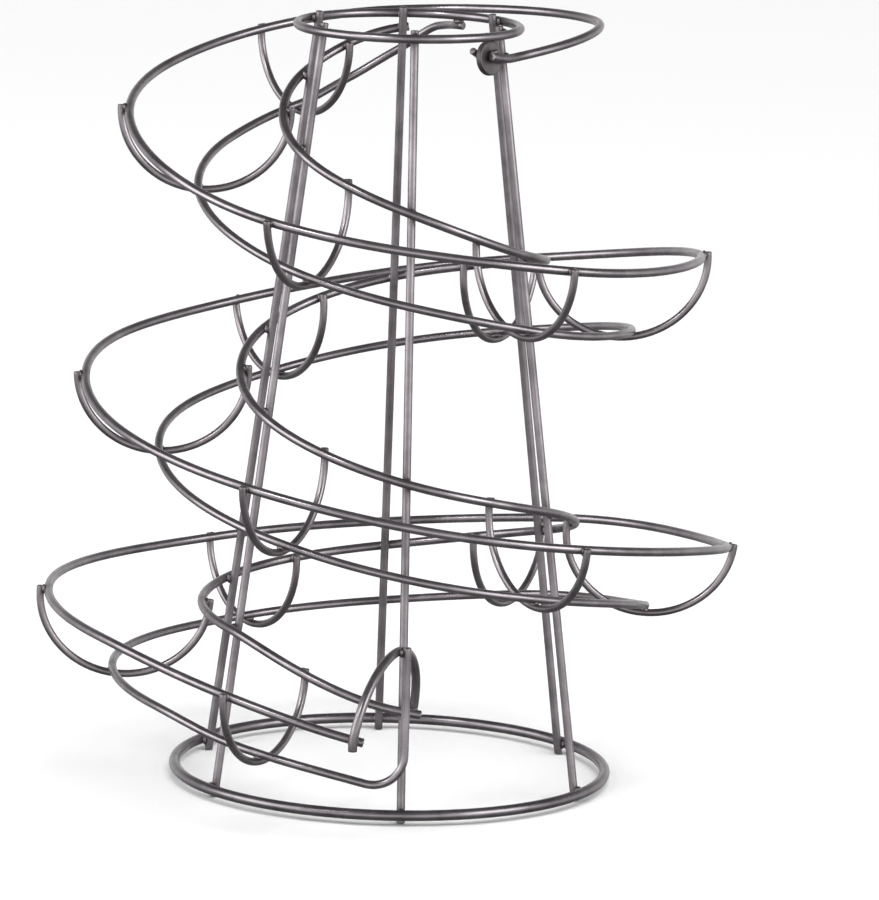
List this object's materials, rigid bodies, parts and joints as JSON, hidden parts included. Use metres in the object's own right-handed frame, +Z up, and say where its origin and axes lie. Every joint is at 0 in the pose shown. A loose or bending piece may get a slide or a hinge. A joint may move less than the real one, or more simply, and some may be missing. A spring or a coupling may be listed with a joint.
{
  "type": "rolling egg dispenser",
  "caption": "Free-standing wire rack whose spiral channel runs down around a cone of uprights, so that eggs roll to an arched stop at its lower end.",
  "frame": {"origin": "on the surface that the rack stands on, under the middle of its outline", "axes": "+Z up; the channel's lower end and its stop face -Y, with +X to the right of someone who faces them, and the channel runs down counterclockwise seen from above"},
  "size_m": [0.2118, 0.2138, 0.23],
  "materials": {
    "ring_wire": "satin gunmetal plating with long soft highlights",
    "upright_wire": "satin gunmetal plating with long soft highlights",
    "rail_wire": "satin gunmetal plating with long soft highlights",
    "cradle_wire": "satin gunmetal plating with long soft highlights",
    "stop_wire": "satin gunmetal plating with long soft highlights",
    "plate_sheet": "dull gunmetal plating"
  },
  "bodies": {
    "root": {"base_ring": "ring_wire", "top_ring": "ring_wire", "upright_030": "upright_wire", "upright_090": "upright_wire", "upright_150": "upright_wire", "upright_210": "upright_wire", "upright_270": "upright_wire", "upright_330": "upright_wire", "outer_rail": "rail_wire", "inner_rail": "rail_wire", "bottom_rail": "rail_wire", "cradle_01": "cradle_wire", "cradle_02": "cradle_wire", "cradle_03": "cradle_wire", "cradle_04": "cradle_wire", "cradle_05": "cradle_wire", "cradle_06": "cradle_wire", "cradle_07": "cradle_wire", "cradle_08": "cradle_wire", "cradle_09": "cradle_wire", "cradle_10": "cradle_wire", "cradle_11": "cradle_wire", "cradle_12": "cradle_wire", "cradle_13": "cradle_wire", "cradle_14": "cradle_wire", "cradle_15": "cradle_wire", "end_stop": "stop_wire", "anchor_plate": "plate_sheet", "anchor_stub": "stop_wire"}
  },
  "joints": []
}
